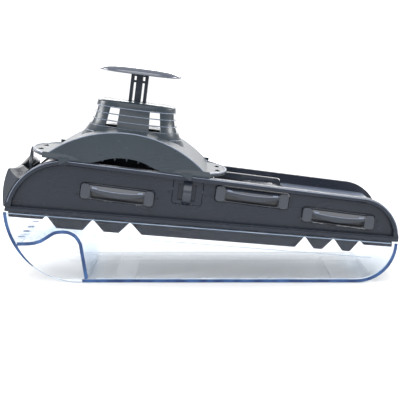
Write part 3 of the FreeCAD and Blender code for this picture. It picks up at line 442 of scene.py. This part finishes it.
def beneath(line, width):
    """The line of (x, z) points moved down square to itself by width."""
    lower = []
    for i, (x, z) in enumerate(line):
        (xa, za), (xb, zb) = line[max(i - 1, 0)], line[min(i + 1, len(line) - 1)]
        size = math.hypot(xb - xa, zb - za)
        lower.append((x + width * (zb - za) / size, z - width * (xb - xa) / size))
    return lower


def build_tub_edges():
    """Blue edges where the end walls, the floor and the hand arch meet the near wall."""
    ribbon("tub_edge_left", *tapered_left_edge())
    ribbon("tub_edge_floor", [(FLOOR_START, 0.2)] + right_curve(0.2, 0.0, 88.0),
           [(FLOOR_START, 2.9)] + right_curve(2.9, 0.0, 88.0))
    ribbon("tub_edge_arch", ARCH, beneath(ARCH, EDGE_WIDTH))
    for i, y in enumerate(GRIP_RIBS):
        run = [(x * MM, y * MM, 36.7 * MM) for x in (-160.3, -158.8, -157.0, -154.5)]
        tube(f"grip_rib_end_{i + 1}", [run], 0.75, "tub", "tub_clear", finish="tub_edge")


def near_wall_runs(lines):
    """Lines of (x, z) millimetres laid on the near wall's outer face."""
    return [[(x * MM, (TUB_SIDE + 0.3) * MM, z * MM) for x, z in line] for line in lines]


def build_tub_lines():
    """Painted highlight lines along the rim's lip, the end curves and the ledge inside the walls, with a
    painted glint just inside the end curves and floor.
    """
    lip = [(x * MM, (TUB_SIDE - 0.6) * MM, rim_height(x * MM) - 1.4 * MM) for x in range(-166, 168, 6)]
    tube("tub_rim_line", [lip], 0.32, "tub", "tub_clear", finish="painted_tub_highlight")
    floor_line = [(x, 3.3) for x in range(-90, 133, 12)]
    inside = [left_curve(3.6, 4.0, 30.0), floor_line + right_curve(3.3, 0.0, 84.0)]
    tube("tub_corner_line", near_wall_runs(inside), 0.4, "tub", "tub_clear", finish="tub_glint")
    outside = [left_curve(0.5, 53.0, 90.0) + [(-103.0, 0.5)]]
    tube("tub_corner_outline", near_wall_runs(outside), 0.3, "tub", "tub_clear", finish="painted_tub_highlight")
    ledges = []
    for y in (TUB_SIDE + 2.7, -TUB_SIDE - 2.7):
        ledges.append([(x * MM, y * MM, rim_height(x * MM) - 15.5 * MM) for x in range(-92, 150, 10)])
    tube("tub_ledge_line", ledges, 0.22, "tub", "tub_clear", finish="painted_tub_highlight")


def build_tub():
    refined("tub_shell", "tub", "tub_clear", 0.3)
    for node in ("foot_strip_left", "foot_strip_right"):
        refined(node, "tub", "foot_strip", 0.3)
    build_tub_edges()
    build_tub_lines()


# ---------------------------------------------------------------- frame
def on_border(edge):
    """Edges of the raised border's outer face, above its narrow foot."""
    outer = all(abs(abs(v.co.y) + BEAD_Y * MM) < 0.05 * MM for v in edge.verts)
    return outer and all(v.co.z > rim_height(v.co.x) + 5.5 * MM for v in edge.verts)


# end arcs of a side wall: centre x, radius, and the angles from upright where each begins and ends
WALL_ARCS = ((-117.9, 51.0, -72.0, SLOPE_DEGREES), (137.2, 34.0, SLOPE_DEGREES, 86.0))


def wall_line(inset):
    """Outline of a side wall in (x, z) millimetres, moved in by inset: arc, straight top, arc."""
    points = []
    for x, radius, first, last in WALL_ARCS:
        centre = TOP_Z / MM - x * SIN / COS - radius / COS
        for i in range(19):
            a = math.radians(first + (last - first) * i / 18)
            points.append((x + (radius - inset) * math.sin(a), centre + (radius - inset) * math.cos(a)))
    return points


def build_wall_lines():
    """Fine raised line along the outer edge of each side wall's border, and inside the far wall's top,
    painted pale as a highlight.
    """
    lines = (("border_highlight_near", 0.75, -63.75, 0.4), ("border_highlight_far", 0.75, 63.75, 0.4),
             ("top_highlight_near", 0.4, -56.0, 0.45), ("top_highlight_far", 0.4, 56.0, 0.45))
    for name, inset, y, radius in lines:
        run = [(x * MM, y * MM, z * MM) for x, z in wall_line(inset)]
        tube(name, [run], radius, "frame", "frame_slate", finish="painted_highlight_slate")


def build_frame():
    """Frame, grip and outfeed deck, with the run-in plate and what adjusts it."""
    build_wall_lines()
    refined("frame_shell", "frame", "frame_slate", 0.3, [(1.6, on_border)])
    refined("end_grip", "frame", "gloss_slate", 0.8)
    # painted sheen: the outfeed deck is finished in pale slate for the light it reflects
    refined("outfeed_deck", "frame", "gloss_slate", 0.3, finish="painted_highlight_slate")
    refined("run_in_plate", "run_in", "polished_steel", 0.15)
    refined("run_in_carrier", "run_in", "frame_slate", 0.3)
    refined("thickness_lever", "lever", "gloss_slate", 0.5)
    refined("ramp_slider", "ramp", "frame_slate", 0.3)


# ---------------------------------------------------------------- cartridges
PULL_LEG = 8.6            # width of a pull handle's legs
PULL_GAP = 0.5            # gap round a pull handle in its window
PULL_FOOT, PULL_RIDGE = -61.7, -64.2    # how far out the bar's ridge stands at its ends and at mid-span
PULL_STATIONS = 24
RIDGE_POINT, SHOULDER_POINT = 4, 3      # places in the cross-section


def pull_section(share, top):
    """One cross-section of the bowed pull bar as (y, t) points; share runs from end to end."""
    swell = math.sin(math.pi * share)
    depth = 3.8 + 5.0 * swell ** 0.85
    ridge = PULL_FOOT + (PULL_RIDGE - PULL_FOOT) * swell ** 0.6
    return [(-59.4, top - 0.3), (-60.4, top), (-61.3, top - 0.25), (ridge + 0.25, top - 0.36 * depth),
            (ridge, top - 0.43 * depth), (ridge + 0.2, top - 0.52 * depth),
            (ridge + 1.1, top - 0.90 * depth), (ridge + 1.7, top - depth),
            (-60.2, top - depth), (-59.4, top - depth + 0.5)]


def bar_section(slot, share):
    """Place along the deck and cross-section of one slot's pull bar, at a share of its span."""
    s0, s1, _, t1 = slot
    start, end = s0 + PULL_GAP + PULL_LEG - 3.4, s1 - PULL_GAP - PULL_LEG + 3.4
    return start + (end - start) * share, pull_section(0.02 + 0.96 * share, t1 - PULL_GAP - 0.9)


def add_pull_legs(bm, slot):
    """Two rounded legs at the ends of the window, each with a chamfered face."""
    s0, s1, t0, t1 = slot
    a, b, low, top = s0 + PULL_GAP, s1 - PULL_GAP, t0 + PULL_GAP, t1 - PULL_GAP
    steps = ((PANEL_Y + 0.3, 0.0, 3.0), (-61.5, 0.0, 3.0), (-62.1, 0.25, 2.75), (-62.4, 0.9, 2.1))
    for x0, x1 in ((a, a + PULL_LEG), (b - PULL_LEG, b)):
        rings = []
        for y, inset, radius in steps:
            outline = rounded_rectangle(x0 + inset, x1 - inset, low + inset, top - inset, radius)
            rings.append([on_deck(x, y, z) for x, z in outline])
        loft(bm, rings)


def add_pull_bar(bm, slot):
    rings = []
    for i in range(PULL_STATIONS + 1):
        s, section = bar_section(slot, i / PULL_STATIONS)
        rings.append([on_deck(s, y, t) for y, t in section])
    loft(bm, rings)


def build_pull(node, body, slot):
    """Pull handle, with a painted highlight line along its ridge and a painted glint near each end."""
    bm = bmesh.new()
    add_pull_legs(bm, slot)
    add_pull_bar(bm, slot)
    place(node + "_pull", mesh_from(node + "_pull", bm, 30.0), body, "gloss_slate", (node,))
    ridge = []
    for i in range(2, PULL_STATIONS - 1):
        s, section = bar_section(slot, i / PULL_STATIONS)
        y, t = section[RIDGE_POINT]
        ridge.append(on_deck(s, y + 0.15, t))
    tube(node + "_ridge", [ridge], 0.3, body, "gloss_slate", finish="painted_highlight_slate")
    end_glints = []
    for first in (0.09, 0.83):
        run = []
        for i in range(5):
            s, section = bar_section(slot, first + 0.02 * i)
            y, t = section[SHOULDER_POINT]
            run.append(on_deck(s, y + 0.25, t + 0.2))
        end_glints.append(run)
    tube(node + "_facets", end_glints, 0.7, body, "gloss_slate", finish="painted_highlight_slate")


def build_cartridges():
    """Pull handles and trays of the three blade cartridges, and the comb drawer."""
    for node, (body, slot) in PULL_SLOTS.items():
        build_pull(node, body, slot)
    refined("slice_tray", "slice_cartridge", "gloss_slate", 0.3)
    refined("julienne_tray", "julienne_cartridge", "gloss_slate", 0.3)
    refined("wave_tray", "wave_cartridge", "gloss_slate", 0.3)
    refined("comb_cassette", "comb_drawer", "frame_slate", 0.35)
    refined("cassette_strap", "comb_drawer", "gloss_slate", 0.5)


# ---------------------------------------------------------------- food holder
CAP_RX, CAP_RY, CAP_POINTS = 37.3, 27.3, 72
# the cap's profile: height, and size as a share of its widest
CAP_LEVELS = ((24.6, 0.955), (24.75, 0.985), (25.4, 1.0), (26.2, 0.995), (27.2, 0.975), (28.4, 0.93),
              (29.5, 0.86), (30.4, 0.76), (31.1, 0.63), (31.6, 0.46), (31.85, 0.27), (31.95, 0.1))


def build_cap():
    """Palm cap: flat underside and a full rounded crown, slightly fuller at the rim."""
    bm = bmesh.new()
    rings = []
    for v, share in CAP_LEVELS:
        ring = []
        for i in range(CAP_POINTS):
            a = 2 * math.pi * i / CAP_POINTS
            ring.append(on_holder(CAP_RX * share * math.cos(a), CAP_RY * share * math.sin(a), v))
        rings.append(ring)
    loft(bm, rings)
    place("palm_cap", mesh_from("palm_cap", bm, 50.0), "plunger", "holder_slate", ("plunger_cap",),
          "cap_gloss")


def build_spring():
    """Round wire coil that stands in for the return spring."""
    points = []
    per_turn = 16
    for i in range(SPRING_TURNS * per_turn + 1):
        a = 2 * math.pi * i / per_turn
        v = SPRING_LOW + (SPRING_HIGH - SPRING_LOW) * i / (SPRING_TURNS * per_turn)
        points.append(on_holder(SPRING_R * math.cos(a), SPRING_R * math.sin(a), v))
    coil = tube("spring_coil", [points], SPRING_WIRE, "holder", "bright_steel", ("return_spring",))
    coil.modifiers.clear()
    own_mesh(coil)


# the tower: height and half-axes of its ovals
TOWER = ((-3.0, 35.0, 24.0), (-12.0, 36.2, 25.0), (-20.0, 38.2, 27.0), (-28.0, 42.0, 31.0),
         (-35.0, 47.0, 37.0))
TOWER_TOP = TOWER[0][0]
CROWN = ((-0.15, 20.0, 12.6), (0.2, 22.6, 14.6), (0.1, 26.5, 17.6), (-0.3, 30.3, 20.3),
         (-0.9, 33.0, 22.3), (-1.8, 34.6, 23.6))
SKIN = 0.42                        # how far the smooth skin stands off the tower
SKIN_T = 0.7
RING_LEVELS = (-6.6, -12.6, -18.6, -24.2, -30.0)
WINDOW_TOP, WINDOW_LOW = -6.0, -25.2
END_WINDOW_LOW, END_WINDOW_HALF = -23.8, 8.3
# windows' sides: distance from the middle at the top, and how much further out at the bottom
NEAR_OUTER, NEAR_INNER = (22.0, 2.8), (13.2, 1.0)
FAR_OUTER, FAR_INNER = (26.6, 2.4), (10.4, 0.0)
WINDOW_ROWS = 14
VAULT_TOP, VAULT_R = -24.4, 104.0


def tower_size(v):
    """Half-axes of the tower at height v, by smooth interpolation."""
    v = min(max(v, TOWER[-1][0]), TOWER[0][0])
    for i, ((v0, a0, b0), (v1, a1, b1)) in enumerate(zip(TOWER, TOWER[1:])):
        if v1 <= v <= v0:
            before, after = TOWER[max(i - 1, 0)], TOWER[min(i + 2, len(TOWER) - 1)]
            share = (v - v0) / (v1 - v0)
            sizes = []
            for first, last, lead, trail in ((a0, a1, before[1], after[1]), (b0, b1, before[2], after[2])):
                rise0 = (last - lead) * (v1 - v0) / (v1 - before[0])
                rise1 = (trail - first) * (v1 - v0) / (after[0] - v0)
                h = share * share * (3.0 - 2.0 * share)
                sizes.append(first + (last - first) * h + rise0 * share * (1 - share) ** 2
                             - rise1 * share ** 2 * (1 - share))
            return sizes


def tower_breaks(v):
    """Angles round the tower where its windows begin and end, with each span's kind and steps."""
    a, b = tower_size(v)
    low = min(max((WINDOW_TOP - v) / (WINDOW_TOP - WINDOW_LOW), 0.0), 1.0)
    end = math.asin(END_WINDOW_HALF / b)
    near = [math.acos((top + spread * low) / a) for top, spread in (NEAR_OUTER, NEAR_INNER)]
    far = [math.acos((top + spread * low) / a) for top, spread in (FAR_OUTER, FAR_INNER)]
    turn = math.pi
    marks = [-end, end, far[0], far[1], turn - far[1], turn - far[0], turn - end, turn + end,
             turn + near[0], turn + near[1], 2 * turn - near[1], 2 * turn - near[0], 2 * turn - end]
    kinds = ["end", "wall", "far", "wall", "far", "wall", "end", "wall", "near", "wall", "near", "wall"]
    steps = {"end": 6, "near": 4, "far": 5}
    return marks, kinds, [steps.get(kind, 8) for kind in kinds]


def tower_angles(v):
    """Angles of the skin's columns at height v, and the kind of span that follows each."""
    marks, kinds, steps = tower_breaks(v)
    angles, owners = [], []
    for first, last, kind, count in zip(marks, marks[1:], kinds, steps):
        for i in range(count):
            angles.append(first + (last - first) * i / count)
            owners.append(kind)
    return angles, owners


def vault_height(u):
    """Height of the saddle's arched top at u."""
    return VAULT_TOP - VAULT_R + math.sqrt(VAULT_R ** 2 - u ** 2)


def tower_rows(index, owners):
    """Heights of one column of the skin: crown side, window rows, and down to the saddle."""
    neighbours = {owners[index], owners[index - 1]}
    bottom = END_WINDOW_LOW if "end" in neighbours else WINDOW_LOW
    foot = bottom - 3.0
    for _ in range(4):
        foot = vault_height(tower_size(foot)[0] * math.cos(tower_angles(foot)[0][index])) - 0.6
    foot = min(foot, bottom - 0.4)
    windows = [WINDOW_TOP + (bottom - WINDOW_TOP) * i / WINDOW_ROWS for i in range(WINDOW_ROWS + 1)]
    return [TOWER_TOP, -4.5] + windows + [bottom + (foot - bottom) * i / 4 for i in range(1, 5)]


def skin_column(index, owners, shift):
    """Points of one column of the skin, from the crown down, moved out by shift."""
    crown_angle = tower_angles(TOWER_TOP)[0][index]
    column = [((a + shift) * math.cos(crown_angle), (b + shift) * math.sin(crown_angle),
               v + (shift - SKIN)) for v, a, b in CROWN]
    for v in tower_rows(index, owners):
        a, b = tower_size(v)
        angle = tower_angles(v)[0][index]
        column.append(((a + shift) * math.cos(angle), (b + shift) * math.sin(angle), v))
    return [on_holder(*p) for p in column]


def add_skin_walls(bm, outer, inner, owners):
    """Faces of the outer and inner skin, apart from the windows."""
    window_start = len(CROWN) + 2
    for index in range(len(owners)):
        after = (index + 1) % len(owners)
        for row in range(len(outer[0]) - 1):
            if owners[index] != "wall" and window_start <= row < window_start + WINDOW_ROWS:
                continue
            for grid in (outer, inner):
                bm.faces.new((grid[index][row], grid[after][row], grid[after][row + 1], grid[index][row + 1]))


def close_skin_edges(bm, outer, inner):
    """Narrow faces that join the two skins round every opening."""
    partner = {o: i for outer_column, inner_column in zip(outer, inner)
               for o, i in zip(outer_column, inner_column)}
    for edge in [e for e in bm.edges if len(e.link_faces) == 1 and e.verts[0] in partner]:
        first, last = edge.verts
        bm.faces.new((first, last, partner[last], partner[first]))


def build_tower_skin():
    """Smooth skin over the tower and its crown, with the windows left open."""
    bm = bmesh.new()
    owners = tower_angles(TOWER_TOP)[1]
    outer, inner = [[[bm.verts.new(p) for p in skin_column(index, owners, shift)]
                     for index in range(len(owners))] for shift in (SKIN, SKIN - SKIN_T)]
    add_skin_walls(bm, outer, inner, owners)
    close_skin_edges(bm, outer, inner)
    loose = [v for v in bm.verts if not v.link_faces]
    bmesh.ops.delete(bm, geom=loose, context="VERTS")
    place("tower_skin", mesh_from("tower_skin", bm, 50.0), "holder", "holder_slate")


RING_RADIUS = 0.4
RING_START, RING_STEP = 30.0, 3.0      # degrees; a ring starts and ends on the wall


def build_tower_rings():
    """Round bead along each ring of the tower, painted pale as the line of light it catches, broken where the
    far windows are open.
    """
    for i, v in enumerate(RING_LEVELS):
        a, b = tower_size(v)
        low = (WINDOW_TOP - v) / (WINDOW_TOP - WINDOW_LOW)
        runs = [[]]
        for k in range(round(360 / RING_STEP) + 1):
            angle = math.radians(RING_START + RING_STEP * k)
            u, y = (a + SKIN - 0.1) * math.cos(angle), (b + SKIN - 0.1) * math.sin(angle)
            buried = v < vault_height(u) - 0.2
            beside_window = y > 0 and FAR_INNER[0] - 0.4 < abs(u) < FAR_OUTER[0] + 0.4 + FAR_OUTER[1] * low
            if buried or (low < 1.0 and beside_window):
                runs.append([])
            else:
                runs[-1].append(on_holder(u, y, v))
        whole_runs = [run for run in runs if len(run) > 3]
        tube(f"tower_ring_{i + 1}", whole_runs, RING_RADIUS, "holder", "holder_slate", finish="painted_highlight_slate")


APRON_HALF = 70.5


def build_apron_edges():
    """Thin bead along the arched top edge of each apron, painted pale as the bright line along that edge."""
    for side, name in ((-1, "apron_edge_near"), (1, "apron_edge_far")):
        points = []
        for i in range(49):
            u = APRON_HALF * (i / 24.0 - 1.0)
            points.append(on_holder(u, side * (APRON_Y - 0.35), vault_height(u) - 0.3))
        tube(name, [points], 0.5, "holder", "holder_slate", finish="painted_highlight_slate")


FLARE_U0, FLARE_U1 = 36.0, 72.0        # the rolled lower edge of the apron, from the rise outwards
FLARE_STATIONS = 18
# the roll's cross-section: how far out of the apron, and how far up from its lower edge
FLARE_SECTION = ((-0.6, 5.2), (0.05, 5.2), (0.35, 3.6), (0.85, 2.0), (1.15, 0.9), (1.0, 0.15), (0.4, 0.0),
                 (-0.6, 0.0))


def roll_ring(side, way, share):
    """One cross-section of a roll, at a share of the way from the rise to the apron's end."""
    u = FLARE_U0 + (FLARE_U1 - FLARE_U0) * share
    grow = min(1.0, share * 2.2) ** 0.8
    ring = []
    for y, v in FLARE_SECTION:
        out = APRON_Y + (y if y < 0.04 else 0.04 + y * grow)
        ring.append(on_holder(way * u, side * out, SEAT_V + 0.05 + v * (0.45 + 0.55 * grow)))
    return ring


def build_apron_rolls():
    """Rolled lower edge of each apron, fading out at the rise in the middle."""
    for side, side_name in ((-1, "near"), (1, "far")):
        for way, way_name in ((-1, "left"), (1, "right")):
            bm = bmesh.new()
            loft(bm, [roll_ring(side, way, i / FLARE_STATIONS) for i in range(FLARE_STATIONS + 1)])
            name = f"apron_roll_{side_name}_{way_name}"
            place(name, mesh_from(name, bm, 60.0), "holder", "holder_slate")


def build_ear_rims():
    """Raised bead round each ear, painted pale as the bright outline where it catches the light."""
    for way, name in ((-1, "ear_rim_left"), (1, "ear_rim_right")):
        points = []
        for i in range(33):
            a = math.radians(-68.0 + 136.0 * i / 32)
            u = way * (EAR_END - EAR_RX + (EAR_RX - EAR_BEAD) * math.cos(a))
            points.append(on_holder(u, (EAR_RY - EAR_BEAD) * math.sin(a), SEAT_V + 2.6))
        tube(name, [points], EAR_BEAD, "holder", "holder_slate", finish="painted_highlight_slate")


def off_tower(edge):
    """Edges of the holder away from its tower, whose skin and rings are separate pieces."""
    for vertex in edge.verts:
        x, y, z = vertex.co / MM
        z -= TOP_Z / MM
        u, v = x * COS - z * SIN - HOLDER_S, x * SIN + z * COS - HOLDER_T
        if abs(u) > 52.0 or abs(y) > 42.0 or v < -38.0:
            return True
    return False


def build_holder():
    """Food holder and plunger."""
    refined("holder_shell", "holder", "holder_slate", 0.4, pick=off_tower)
    build_tower_skin()
    refined("holder_guide_plate", "holder", "holder_slate", 0.3)
    refined("plunger_stem", "plunger", "frame_slate", 0.3)
    refined("spring_collar", "plunger", "holder_slate", 0.3)
    refined("pusher_plate", "plunger", "holder_slate", 0.4)
    build_cap()
    build_spring()
    build_tower_rings()
    build_apron_edges()
    build_apron_rolls()
    build_ear_rims()


def paint_cad_nodes():
    """Gives each CAD node that still shows the finish of its own material slot."""
    slots = {part["node"]: part["material_slot"] for part in frame["record"]["subparts"]}
    for node, thing in NODES.items():
        thing.data.materials.clear()
        thing.data.materials.append(MATERIALS[slots[node]])


# ---------------------------------------------------------------- studio
SWEEP_HALF, SWEEP_FRONT, SWEEP_BACK = 6.0, -6.0, 2.6
SWEEP_R, SWEEP_HEIGHT = 1.2, 5.0


def floor_material():
    """Pale matt board with a faint drift of tone."""
    material, tree, shader, _ = new_material("floor_white")
    tone = ramp(tree, noise(tree, object_point(tree), 3.0), 0.3, 0.7, 0.0, 1.0)
    tree.links.new(mix_colour(tree, tone, (0.955, 0.955, 0.955), (0.965, 0.965, 0.965)),
                   shader.inputs["Base Color"])
    shader.inputs["Roughness"].default_value = 0.9
    shader.inputs["Specular IOR Level"].default_value = 0.1
    return material


def build_floor():
    """Pale sweep: a flat floor that curves up into a backdrop."""
    bm = bmesh.new()
    profile = [(SWEEP_FRONT, 0.0), (-1.0, 0.0), (SWEEP_BACK, 0.0)]
    for i in range(1, 13):
        a = math.pi / 2 * i / 12
        profile.append((SWEEP_BACK + SWEEP_R * math.sin(a), SWEEP_R * (1 - math.cos(a))))
    profile.append((SWEEP_BACK + SWEEP_R, SWEEP_HEIGHT))
    rows = [[bm.verts.new((x, y, z)) for x in (-SWEEP_HALF, SWEEP_HALF)] for y, z in profile]
    for a, b in zip(rows, rows[1:]):
        bm.faces.new((a[0], a[1], b[1], b[0]))
    mesh = bpy.data.meshes.new("floor")
    bm.to_mesh(mesh)
    bm.free()
    smooth_shaded(mesh, 40.0)
    mesh.materials.append(floor_material())
    floor = bpy.data.objects.new("floor", mesh)
    bpy.context.scene.collection.objects.link(floor)


def add_light(name, place_at, target, size, power, size_y=None):
    """Area light aimed at target: square, or a rectangle where size_y is given."""
    light = bpy.data.lights.new(name, "AREA")
    light.energy = power
    light.size = size
    if size_y:
        light.shape = "RECTANGLE"
        light.size_y = size_y
    thing = bpy.data.objects.new(name, light)
    thing.location = place_at
    direction = Vector(target) - Vector(place_at)
    thing.rotation_euler = direction.to_track_quat("-Z", "Y").to_euler()
    bpy.context.scene.collection.objects.link(thing)


def build_lights():
    """Even pale surroundings, soft lights on all sides, and a wash on the backdrop."""
    world = bpy.data.worlds.new("studio")
    world.use_nodes = True
    world.node_tree.nodes["Background"].inputs["Color"].default_value = (0.97, 0.98, 1.0, 1.0)
    world.node_tree.nodes["Background"].inputs["Strength"].default_value = 0.68
    bpy.context.scene.world = world
    add_light("top_strip", (0.0, -0.5, 1.35), (0, 0, 0.08), 2.0, 8.0, 0.5)
    add_light("front_fill", (0.0, -1.3, 0.8), (0, 0, 0.03), 2.4, 12.0, 0.9)
    add_light("back_top", (0.0, 1.3, 0.8), (0, 0, 0.05), 1.8, 18.0, 0.4)
    add_light("left_softbox", (-1.3, 0.25, 0.6), (0, 0, 0.08), 0.5, 10.0)
    add_light("right_softbox", (1.3, 0.25, 0.5), (0, 0, 0.06), 0.4, 8.0)
    add_light("backdrop_wash", (0.0, 1.6, 1.6), (0, 3.9, 1.2), 3.0, 24.0, 1.0)


CAMERA_AT = (0.0, -0.9945, 0.1995)
CAMERA_DOWN = math.radians(7.8)
CAMERA_LENS = 98.6


def build_camera():
    """Long lens from the near side, looking slightly down."""
    camera = bpy.data.cameras.new("camera")
    camera.lens = CAMERA_LENS
    camera.sensor_width = 36.0
    camera.clip_start, camera.clip_end = 0.05, 60.0
    thing = bpy.data.objects.new("camera", camera)
    thing.location = CAMERA_AT
    thing.rotation_euler = (math.pi / 2 - CAMERA_DOWN, 0.0, 0.0)
    bpy.context.scene.collection.objects.link(thing)
    scene = bpy.context.scene
    scene.camera = thing
    scene.view_settings.view_transform = "Standard"
    scene.view_settings.look = "None"


paint_cad_nodes()
build_tub()
build_frame()
build_cartridges()
build_holder()
build_floor()
build_lights()
build_camera()
